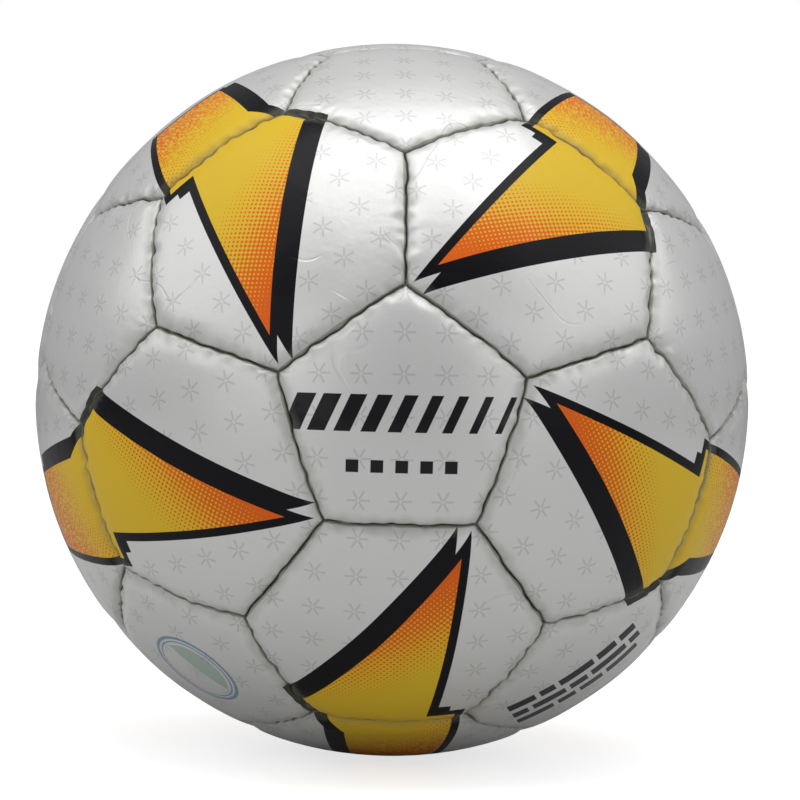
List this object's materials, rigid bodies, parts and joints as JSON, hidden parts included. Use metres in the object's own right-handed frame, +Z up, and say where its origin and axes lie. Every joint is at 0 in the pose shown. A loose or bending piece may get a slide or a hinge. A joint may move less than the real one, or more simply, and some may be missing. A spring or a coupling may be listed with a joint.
{
  "type": "soccer ball",
  "caption": "Round football of stitched pentagon and hexagon panels over an air bladder, with a self-sealing valve for a pump needle.",
  "frame": {"origin": "centre of the ball", "axes": "-Y out of the middle of the front pentagon, +Z up through a corner of that pentagon and, 10.8 degrees further back, the valve; +X to the right as seen from the front"},
  "size_m": [0.2194, 0.22, 0.2198],
  "materials": {
    "cover": "glossy pearl synthetic leather with a printed pattern",
    "thread": "waxed polyester thread",
    "bladder": "smooth butyl rubber",
    "valve_rubber": "matt moulded rubber",
    "core_rubber": "soft moulded rubber",
    "cloth": "woven cotton"
  },
  "bodies": {
    "ball": {"front_pentagon": "cover", "back_pentagon": "cover", "front_ring_pentagon_1": "cover", "back_ring_pentagon_1": "cover", "front_hexagon_1": "cover", "front_belt_hexagon_1": "cover", "valve_hexagon": "cover", "back_hexagon_1": "cover", "front_ring_pentagon_2": "cover", "back_ring_pentagon_2": "cover", "front_hexagon_2": "cover", "front_belt_hexagon_2": "cover", "back_belt_hexagon_2": "cover", "back_hexagon_2": "cover", "front_ring_pentagon_3": "cover", "back_ring_pentagon_3": "cover", "front_hexagon_3": "cover", "front_belt_hexagon_3": "cover", "back_belt_hexagon_3": "cover", "back_hexagon_3": "cover", "front_ring_pentagon_4": "cover", "back_ring_pentagon_4": "cover", "front_hexagon_4": "cover", "front_belt_hexagon_4": "cover", "back_belt_hexagon_4": "cover", "back_hexagon_4": "cover", "front_ring_pentagon_5": "cover", "back_ring_pentagon_5": "cover", "front_hexagon_5": "cover", "front_belt_hexagon_5": "cover", "back_belt_hexagon_5": "cover", "back_hexagon_5": "cover", "seam_thread": "thread", "bladder": "bladder", "valve_body": "valve_rubber", "valve_patch": "valve_rubber", "valve_washer": "cloth", "balance_patch": "valve_rubber"},
    "valve_core": {"valve_core": "core_rubber"}
  },
  "joints": [
    {"name": "valve_core_pull", "type": "slide", "parent": "ball", "child": "valve_core", "axis": [0, 0.1876, 0.9822], "range_m": [0, 0.02]}
  ]
}
